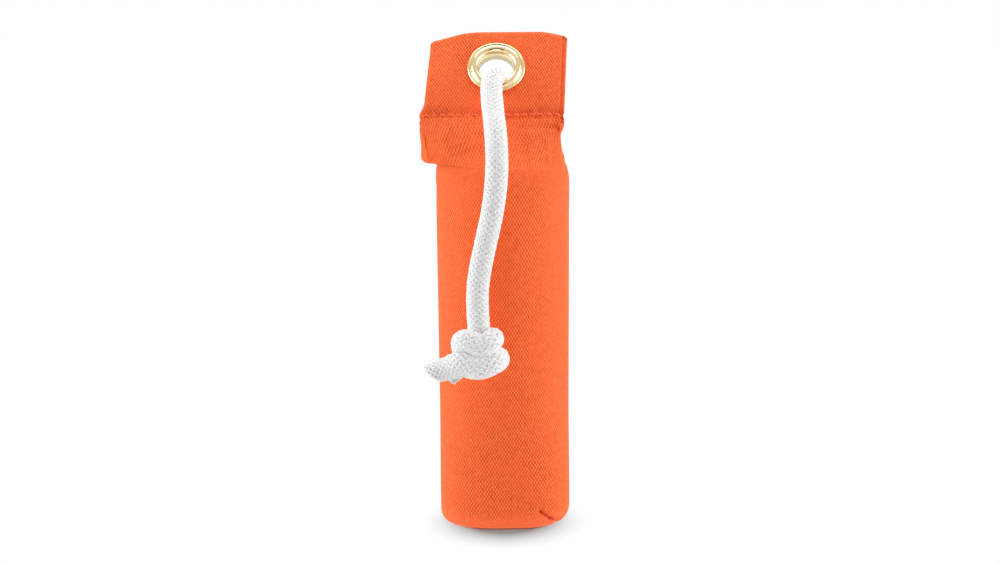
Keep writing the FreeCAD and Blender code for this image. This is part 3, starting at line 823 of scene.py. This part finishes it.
def seam_lines():
    """Seams that draw the cloth in: two ends, width, depth and how much painted shade darkens the fold along
    them.
    """
    sides = (-HEADER_HALF, HEADER_HALF)
    closing = [on_header(side, FRONT_FACE, SEAM_UP) for side in sides]
    closing_back = [on_header(side, -FRONT_FACE, SEAM_UP) for side in sides]
    right = mm(13.6, -24.4, 6.6), mm(17.3, -22.8, 3.4), mm(20.3, -20.1, 0.8)
    left = mm(-15.5, -23.2, 4.0), mm(-18.5, -21.0, 0.4)
    right_back = mm(13.4, 23.9, 6.6), mm(20.0, 20.0, 0.8)
    left_back = mm(-13.4, 23.9, 6.6), mm(-20.0, 20.0, 0.8)
    notch = mm(23.2, -2.2, 150.6), mm(22.4, -8.0, 145.6)
    ear_mouth = mm(-30.6, -1.8, 152.2), mm(-27.6, -3.6, 152.4)
    spine = Vector((0, BODY_RADIUS, 6 * MM)), Vector((0, BODY_RADIUS, 134 * MM))
    hollow = mm(4, -3, 160), mm(8, -14, 148)
    under_seam = mm(5, -5.8, 152.9), mm(22.5, -5.0, 152.2)
    slack_fold = mm(-15, -15, 144.5), mm(-4, -17, 146.5)
    return (
        (*closing, 1.3 * MM, 0.50 * MM, 0.14),
        (*closing_back, 1.3 * MM, 0.50 * MM, 0.14),
        (*right[:2], 0.55 * MM, 0.9 * MM, 1.0),
        (*right[1:], 0.60 * MM, 1.0 * MM, 1.0),
        (right[0], right[0] * 1.001, 0.75 * MM, 0.9 * MM, 1.0),
        (right[2], right[2] * 1.001, 1.3 * MM, 1.7 * MM, 0.3),
        (*left, 0.60 * MM, 0.5 * MM, 0.45),
        (*right_back, 0.55 * MM, 0.8 * MM, 0.8),
        (*left_back, 0.55 * MM, 0.8 * MM, 0.8),
        (*spine, 0.6 * MM, 0.4 * MM, 0.5),
        (*notch, 0.7 * MM, 0.9 * MM, 0.7),
        (*ear_mouth, 0.7 * MM, 0.8 * MM, 0.5),
        # The hollow right of the rope also carries painted shade standing in for the rope's shadow.
        (*hollow, 6.0 * MM, 1.0 * MM, 0.16),
        (*under_seam, 1.8 * MM, 0.6 * MM, 0.16),
        (*slack_fold, 2.4 * MM, 0.9 * MM, 0.12),
    )


def near_line(places, start, end):
    """Distance of each place from a straight line between two points."""
    start = np.array(start)
    way = np.array(end) - start
    share = np.clip((places - start) @ way / (way @ way), 0.0, 1.0)
    return np.linalg.norm(places - start - share[:, None] * way, axis=1)


def clear_of_core(places):
    """Push cloth that would cut into the foam core's rounded top edge back outside it."""
    low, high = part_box("foam_core")
    radius = (high[0] - low[0]) / 2
    lift = np.clip((places[:, 2] - (high[2] - CORE_ROUND)) / CORE_ROUND, 0.0, 1.0)
    least = radius - CORE_ROUND * (1.0 - np.sqrt(1.0 - lift ** 2)) + 0.35 * MM
    reach = np.hypot(places[:, 0], places[:, 1])
    inside = (reach < least) & (places[:, 2] > BEND_START - 30 * MM) & (places[:, 2] < high[2] + 0.1 * MM)
    grow = np.where(inside, least / np.maximum(reach, MM), 1.0)
    return places * np.stack([grow, grow, np.ones(len(grow))], axis=1)


def seam_puckers(places):
    """How far the cloth stands out beside the closing seam, and how much painted shade darkens the band along
    and just above it.
    """
    offset = places - np.array(FOLD)
    up = offset @ np.array(UP_HEADER)
    out = offset @ np.array(OUT_OF_HEADER)
    inward = 1.0 - smooth(np.abs(offset[:, 0] + 1.5 * MM) / HEADER_HALF, 0.82, 1.0)
    beside = (up > -14 * MM) & (up < 9 * MM) & ((np.abs(out) < 3 * MM) | (up < 0))
    push = np.zeros(len(places))
    dark = np.zeros(len(places))
    for index in np.flatnonzero(beside):
        x, y, z = places[index] / MM
        wave = noise.noise((x * 0.34, z * 0.16, 3.0 + (y > 3)))
        soft = noise.noise((x * 0.12, z * 0.10, 9.0))
        near_seam = inward[index] * math.exp(-abs(up[index] - SEAM_UP) / (4.0 * MM))
        push[index] = near_seam * (0.95 * wave + 0.5 * soft) * MM
        # Painted shade: a dark band along and just above the closing seam, where the puckered cloth is
        # shaded.
        dark[index] = bell(up[index], SEAM_UP + 1.4 * MM, 2.2 * MM) * (0.20 + 0.35 * wave)
    return push, dark


def slack_waves(places):
    """Broad, shallow waves in the loose cloth of the shoulders."""
    up = (places - np.array(FOLD)) @ np.array(UP_HEADER)
    push = np.zeros(len(places))
    for index in np.flatnonzero((places[:, 2] > 100 * MM) & (up < 1 * MM)):
        x, y, z = places[index] / MM
        push[index] = 0.7 * MM * noise.noise((x * 0.07, y * 0.07, z * 0.09))
    return push * smooth(places[:, 2], 110 * MM, 142 * MM)


def press_seams(cover):
    """Draw the cloth in along its seams, pucker it beside the closing seam, and store the painted shade for
    its seams and folds as a mesh attribute.
    """
    mesh = cover.data
    places = vertex_values(mesh, "co")
    push, painted_crease_shade = seam_puckers(places)
    push += slack_waves(places)
    for start, end, width, depth, dark in seam_lines():
        pull = bell(near_line(places, start, end), 0.0, width)
        push -= pull * depth
        painted_crease_shade = np.maximum(painted_crease_shade, pull ** 2 * dark)
    moved = places + vertex_values(mesh, "normal") * push[:, None]
    mesh.vertices.foreach_set("co", clear_of_core(moved).ravel())
    # Painted shade for the seams, folds and hollows, which the canvas material reads to darken them.
    layer = mesh.attributes.new("painted_crease_shade", "FLOAT", "POINT")
    layer.data.foreach_set("value", painted_crease_shade)
    mesh.update()


def make_cover(canvas):
    bm = make_cover_mesh()
    bmesh.ops.remove_doubles(bm, verts=bm.verts, dist=0.03 * MM)
    close_foot(bm)
    bmesh.ops.recalc_face_normals(bm, faces=bm.faces)
    cover = keep_mesh("canvas_cover", bm)
    cover.data.uv_layers[0].name = CLOTH_UV
    settle(cover)
    finer = cover.modifiers.new("finer", "SUBSURF")
    finer.levels = finer.render_levels = 1
    apply_modifiers(cover)
    bm = bmesh.new()
    bm.from_mesh(cover.data)
    cut_eyelet_hole(bm, EYELET_RADIUS - 2.0 * MM)
    bm.to_mesh(cover.data)
    bm.free()
    press_seams(cover)
    cover.data.shade_smooth()
    cover.data.materials.append(canvas)
    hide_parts("base_panel", "body_sleeve", "front_shoulder", "back_shoulder", "left_gusset",
                "right_gusset", "header_front_panel", "header_back_panel", "left_header_tuck",
                "right_header_tuck", "top_hem", "closing_fold")
    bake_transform(cover)
    return cover


# ---- the throw rope --------------------------------------------------------------------------

ROPE_OVER_LIP = (
    (-11.5, -7.4),
    (-6.6, -5.0),
    (-1.8, -1.2),
    (3.4, 0.1),
    (6.6, -2.4),
)
ROPE_ROUTE = (
    (-4.2, -1.5, 168.6),
    (-3.3, -13.6, 158.6),
    (-2.1, -25.2, 149.4),
    (-2.0, -31.5, 136.8),
    (-3.8, -31.4, 123.6),
    (-6.6, -30.6, 111.8),
    (-9.2, -30.6, 99.6),
    (-9.8, -31.6, 89.6),
    (-8.9, -34.2, 79.0),
)
KNOT_MIDDLE = mm(-8.6, -35.1, 73.6)
GRIP_KNOT = (
    (-0.3, 0.9, 5.4),
    (-0.3, 2.2, 1.5),
    (-1.4, 3.2, -3.2),
    (-5.2, 3.4, -3.6),
    (-6.8, 1.0, 1.0),
    (-6.6, -2.9, 5.2),
    (-2.6, -4.6, 4.6),
    (0.6, -4.8, 2.4),
    (4.6, -3.2, 5.2),
    (4.4, 1.0, 4.6),
    (2.6, 4.4, 1.2),
    (3.6, 4.6, -2.6),
    (7.0, 1.4, -3.0),
    (5.6, -3.6, -3.0),
    (-1.0, -5.2, -5.0),
    (-6.2, -3.7, -3.3),
    (-11.0, -1.6, -5.6),
    (-16.0, -0.8, -7.4),
    (-22.0, -0.4, -9.8),
)
KNOT_WAYS = ((1, 0, 0), (0, -1, 0), (0, 0, 1))
TAIL_END = mm(-16.6, -0.6, -8.4)
TAIL_CUT = Vector((-0.62, 0.15, -0.77))
KNOT_SIZES = (
    (0.0, 0.90),
    (0.28, 1.0),
    (0.40, 1.02),
    (0.55, 0.92),
    (0.72, 1.16),
    (0.82, 1.18),
    (0.90, 1.0),
    (1.0, 0.98),
)
CARRIERS = 12
BRAID_PITCH = 25 * MM
BRAID_STEP = 0.36 * MM
BRAID_WAVE = 0.12 * MM
STRAND = 0.80 * MM
HOLE_RADIUS = 6.7 * MM
SQUASH = 1.7 * MM


def spline_points(name, points):
    """Points along the smooth curve through a list of control points."""
    data = new_curve(name)
    data.resolution_u = 16
    spline = data.splines.new("NURBS")
    spline.points.add(len(points) - 1)
    for point, place in zip(spline.points, points):
        point.co = (*place, 1.0)
    spline.order_u = 3
    spline.use_endpoint_u = True
    line = as_mesh(data, name)
    read = [vertex.co.copy() for vertex in line.data.vertices]
    bpy.data.objects.remove(line)
    return read


def evenly(points, step):
    """The same line with points a fixed step apart."""
    places = np.array(points)
    lengths = np.concatenate([[0.0], np.cumsum(np.linalg.norm(np.diff(places, axis=0), axis=1))])
    count = max(4, round(lengths[-1] / step))
    marks = np.linspace(0.0, lengths[-1], count + 1)
    return np.stack([np.interp(marks, lengths, places[:, axis]) for axis in range(3)], axis=1), marks


def carried_frames(places):
    """Two directions across the line at each point, carried along it without twist."""
    tangents = np.gradient(places, axis=0)
    tangents /= np.linalg.norm(tangents, axis=1)[:, None]
    side = np.cross(tangents[0], (0.0, 0.0, 1.0))
    if np.linalg.norm(side) < 0.1:
        side = np.cross(tangents[0], (1.0, 0.0, 0.0))
    sides = []
    for tangent in tangents:
        side = side - tangent * side.dot(tangent)
        side = side / np.linalg.norm(side)
        sides.append(side)
    sides = np.array(sides)
    return sides, np.cross(tangents, sides)


def braid(name, line, swell):
    """A braided rope along a line: carriers wound both ways, over and under, on a soft core.

    swell gives the rope's size along the line as a share of its radius.
    """
    places, marks = evenly(line, BRAID_STEP)
    sides, ups = carried_frames(places)
    size = np.array([swell(mark / marks[-1]) for mark in marks])
    data = new_curve(name, STRAND, 1, caps=True)
    turns = 2.0 * math.pi * marks / BRAID_PITCH
    for way in (1, -1):
        for carrier in range(CARRIERS):
            angle = way * turns + 2.0 * math.pi * carrier / CARRIERS
            wave = BRAID_WAVE * (way * np.cos(CARRIERS * angle) - 1.0)
            across = sides * np.cos(angle)[:, None] + ups * np.sin(angle)[:, None]
            add_line(data, places + across * ((ROPE_RADIUS - STRAND + wave) * size)[:, None], size)
    strands = as_mesh(data, name + "_strands")
    data = new_curve(name + "_core", ROPE_RADIUS - 1.15 * STRAND, 4, caps=True)
    add_line(data, places, size)
    return join(name, [strands, as_mesh(data, name + "_core")])


def make_rope():
    """The rope from the stopper knot, through the eyelet and down to the grip knot."""
    lip = EYELET_HEIGHT - HOLE_RADIUS + ROPE_RADIUS - SQUASH
    through = [on_header(EYELET_ACROSS, out * MM, lip + up * MM) for out, up in ROPE_OVER_LIP]
    route = through + [mm(*point) for point in ROPE_ROUTE]
    line = spline_points("rope_line", route)
    rope = braid("throw_rope", line, rope_size)
    leave = min(line, key=lambda point: (point - through[2]).length)
    length = sum((after - before).length for before, after in zip(line, line[1:]))
    return rope, line, leave, length


def rope_size(share):
    """The rope is pinched a little where it lies over the eyelet's lip."""
    return 1.0 - 0.07 * math.exp(-((share - 0.14) / 0.05) ** 2)


def knot_size(share):
    marks, sizes = zip(*KNOT_SIZES)
    return float(np.interp(share, marks, sizes))


def knot_line(name, centre, across, out, up, shape):
    points = [centre + (across * x - out * y + up * z) * MM for x, y, z in shape]
    return spline_points(name, points)


def cut_end(knot, place, away):
    """Cut the rope's end off along a slanted plane and close the cut."""
    bm = bmesh.new()
    bm.from_mesh(knot.data)
    geometry = bm.verts[:] + bm.edges[:] + bm.faces[:]
    cut = bmesh.ops.bisect_plane(bm, geom=geometry, plane_co=place, plane_no=away, clear_outer=True)
    rims = [item for item in cut["geom_cut"] if isinstance(item, bmesh.types.BMEdge)]
    bmesh.ops.edgenet_fill(bm, edges=rims)
    bmesh.ops.recalc_face_normals(bm, faces=bm.faces)
    bm.to_mesh(knot.data)
    bm.free()


def scatter(size):
    """A random vector, each part of which is at most size."""
    return Vector([random.uniform(-size, size) for _ in range(3)])


def frayed_ends(name, root, along, count, spread, reach):
    """Loose fibres that stick out of a cut rope end."""
    data = new_curve(name, 0.14 * MM)
    for _ in range(count):
        start = root + scatter(spread)
        way = along.normalized() + scatter(0.5)
        bend = scatter(0.5)
        far = reach * random.uniform(0.4, 1.0)
        places = [start + way * far * share + bend * far * share ** 2 for share in (0, 0.35, 0.7, 1.0)]
        add_line(data, np.array([tuple(place) for place in places]))
    return as_mesh(data, name)


def gathered_fibres(name, root, half, tip, count):
    """Loose fibres along the underside of the cut end, drawn together to a point."""
    data = new_curve(name, 0.2 * MM)
    for _ in range(count):
        start = root + Vector((random.uniform(-half, half), random.gauss(0, 0.8 * MM), 0))
        stop = root + tip * random.uniform(0.75, 1.0)
        stop += Vector([random.gauss(0, 0.35 * MM) for _ in range(3)])
        bulge = (start + stop) / 2 + Vector((0, 0, -0.3 * MM))
        add_line(data, np.array([tuple(start), tuple(bulge), tuple(stop)]))
    return as_mesh(data, name)


def make_grip_knot():
    """The overhand knot that is held in the hand, and the frayed cut end of the rope."""
    line = knot_line("knot_line", KNOT_MIDDLE, *(Vector(way) for way in KNOT_WAYS), GRIP_KNOT)
    knot = braid("grip_knot_braid", line, knot_size)
    end = KNOT_MIDDLE + TAIL_END
    cut_end(knot, end, TAIL_CUT)
    under = end + mm(6.2, -0.6, -0.2)
    wedge = mm(0.6, -0.3, -2.7)
    fibres = gathered_fibres("tail_fibres", under, 4.6 * MM, wedge, 260)
    tip = end + mm(-1.2, 0, 1.4)
    more = frayed_ends("tip_fibres", tip, Vector((-1, 0, -0.3)), 18, 1.2 * MM, 1.6 * MM)
    return join("grip_knot_braid", [knot, fibres, more])


def make_stopper_knot():
    centre = on_header(EYELET_ACROSS, -13.4 * MM, EYELET_HEIGHT - 7.0 * MM)
    shape = GRIP_KNOT[:-2]
    line = knot_line("stopper_line", centre, Vector((-1, 0, 0)), UP_HEADER, OUT_OF_HEADER, shape)
    return braid("stopper_knot_braid", line, knot_size)


# ---- the eyelet ------------------------------------------------------------------------------

def lathe(name, profile, steps=96):
    """Spin a closed outline of (radius, out) pairs round the eyelet's axis, then place it."""
    bm = bmesh.new()
    verts = [bm.verts.new((radius, 0, out)) for radius, out in profile]
    edges = [bm.edges.new((a, b)) for a, b in zip(verts, verts[1:] + verts[:1])]
    bmesh.ops.spin(bm, geom=verts + edges, cent=(0, 0, 0), axis=(0, 0, 1), angle=2 * math.pi, steps=steps,
                   use_merge=True)
    bmesh.ops.remove_doubles(bm, verts=bm.verts, dist=0.001 * MM)
    bmesh.ops.recalc_face_normals(bm, faces=bm.faces)
    turn = Matrix((Vector((1, 0, 0)), UP_HEADER, OUT_OF_HEADER)).transposed().to_4x4()
    place = Matrix.Translation(on_header(EYELET_ACROSS, 0, EYELET_HEIGHT)) @ turn
    bmesh.ops.transform(bm, matrix=place, verts=bm.verts)
    return keep_mesh(name, bm)


def arc(centre, radius, start, end, count):
    """Points on an arc, with angles in degrees."""
    angles = [math.radians(start + (end - start) * step / count) for step in range(count + 1)]
    return [(centre[0] + radius * math.cos(angle), centre[1] + radius * math.sin(angle)) for angle in angles]


def make_eyelet(brass):
    """The front half with its domed rim and barrel, and the washer that it is rolled over."""
    bore = HOLE_RADIUS + 0.05 * MM
    rim = EYELET_RADIUS
    seat = STACK + 0.15 * MM
    back = -STACK - 0.1 * MM
    dome = 1.6 * MM
    edge = 0.55 * MM
    wall = 0.5 * MM
    barrel_end = back - 0.9 * MM
    profile = [(bore, barrel_end)]
    profile += arc((bore + dome, seat + 0.15 * MM), dome, 180, 12, 14)
    profile += arc((rim - edge, seat + 0.12 * MM), edge, 150, -80, 8)
    profile += [(bore + 1.2 * MM, seat - 0.3 * MM), (bore + wall, seat - 0.8 * MM), (bore + wall, barrel_end)]
    dress(lathe("brass_eyelet", profile), brass, "brass", "header", "eyelet")
    plate = back - 0.35 * MM
    outline = [(bore + 0.6 * MM, back), (rim, back), (rim, plate)]
    outline += arc((rim - 1.1 * MM, plate), 0.5 * MM, -20, -110, 5)
    outline += [(bore + 2.4 * MM, back - 0.8 * MM)]
    outline += arc((bore + 1.2 * MM, back - 0.75 * MM), 0.75 * MM, -40, -180, 8)
    dress(lathe("brass_washer", outline), brass, "brass", "header", "eyelet_washer")


def make_stay(webbing):
    """The band of webbing between the header's layers, with the hole for the eyelet's barrel."""
    low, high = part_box("header_stay")
    rise = math.cos(LEAN)
    bottom = (low[2] - FOLD.z) / rise + 1 * MM
    top = (high[2] - FOLD.z) / rise - 1 * MM
    width = high[0] - low[0] - 1 * MM
    bm = bmesh.new()
    bmesh.ops.create_grid(bm, x_segments=28, y_segments=28, size=0.5)
    for vertex in bm.verts:
        up = (bottom + top) / 2 + vertex.co.y * (top - bottom)
        vertex.co = on_header(EYELET_ACROSS + vertex.co.x * width, 0.35 * MM, up)
    cut_eyelet_hole(bm, EYELET_RADIUS - 2.5 * MM)
    bmesh.ops.solidify(bm, geom=bm.faces[:], thickness=0.7 * MM)
    bmesh.ops.recalc_face_normals(bm, faces=bm.faces)
    dress(keep_mesh("stay_band", bm, smooth=False), webbing, "webbing", "header", "header_stay")


# ---- sewing ----------------------------------------------------------------------------------

STITCH = 2.1 * MM
STITCH_STEP = 3.0 * MM
THREAD = 0.27 * MM


def sew(name, start, end, face, lift, slant, material, body, *nodes):
    """A row of stitches between two points, each one bowed out of the cloth along face."""
    data = new_curve(name, THREAD, 2, caps=True)
    way = (end - start).normalized()
    side = way.cross(face).normalized()
    count = int((end - start).length / STITCH_STEP)
    for number in range(count):
        centre = start + (end - start) * ((number + 0.5) / count)
        lean = slant * random.uniform(0.6, 1.3)
        places = []
        for share in np.linspace(-1.0, 1.0, 7):
            bow = lift * (1.0 - share ** 2) - 0.45 * MM * abs(share) ** 4
            place = centre + way * (share * STITCH / 2) + side * (share * lean) + face * bow
            places.append(tuple(place))
        add_line(data, np.array(places))
    dress(as_mesh(data, name), material, "thread", body, *nodes)


def sew_closing(thread):
    """The row that closes the cover, on the front of the header and on its back."""
    half = HEADER_HALF - 1.2 * MM
    left, right = -1.3 * MM - half, -1.3 * MM + half
    face = FRONT_FACE - 0.25 * MM
    sew("closing_stitches_front", on_header(left - 1 * MM, face, SEAM_UP), on_header(right, face, SEAM_UP),
        OUT_OF_HEADER, 0.34 * MM, 0.2 * MM, thread, "header", "header_stitches")
    sew("closing_stitches_back", on_header(left, -face, SEAM_UP), on_header(right, -face, SEAM_UP),
        -OUT_OF_HEADER, 0.28 * MM, 0.2 * MM, thread, "header")


def sew_body(thread):
    """The seam up the back of the sleeve, and the seams of the boxed base."""
    low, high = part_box("back_seam_stitches")
    foot = Vector((0.9 * MM, BODY_RADIUS + 0.05 * MM, low[2]))
    head = Vector((foot.x, foot.y, high[2]))
    sew("back_seam", foot, head, Vector((0, 1, 0)), 0.2 * MM, 0.0, thread, "bumper", "back_seam_stitches")
    for node in ("base_seam_stitches", "left_corner_stitches", "right_corner_stitches"):
        size = extent(node)
        half = Vector((size.x, 0, 0)) / 2 if size.x > size.y else Vector((0, size.y, 0)) / 2
        centre = middle(node)
        centre.z = 0.2 * MM
        sew(node + "_sewn", centre - half, centre + half, Vector((0, 0, -1)), 0.1 * MM, 0.0, thread,
            "bumper", node)


def make_loose_thread(thread):
    root = on_header(HEADER_HALF - 3.0 * MM, 1.0 * MM, -4.4 * MM)
    tuft = frayed_ends("frayed_thread", root, Vector((0.25, -0.1, -1)), 22, 0.45 * MM, 1.7 * MM)
    dress(tuft, thread, "thread", "header", "loose_thread")


# ---- putting it together ---------------------------------------------------------------------

def dress_node(name, material):
    """Give a CAD node its material."""
    data = frame["nodes"][name].data
    data.materials.clear()
    data.materials.append(material)


def build():
    random.seed(7)
    make_camera()
    make_light()
    make_floor()
    make_dark_wall()
    canvas = canvas_material()
    thread = thread_material()
    white = rope_material()
    brass = brass_material()
    make_cover(canvas)
    rope, line, leave, length = make_rope()
    knot = make_grip_knot()
    stopper = make_stopper_knot()
    dress(knot, white, "rope", "throw_rope", "grip_knot", "rope_tail")
    dress(stopper, white, "rope", "header", "stopper_knot")
    rope.data.materials.append(white)
    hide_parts("rope_leg", "rope_through")
    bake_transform(rope)
    make_eyelet(brass)
    sew_closing(thread)
    sew_body(thread)
    make_loose_thread(thread)
    dress_node("foam_core", foam_material())
    make_stay(webbing_material())


build()
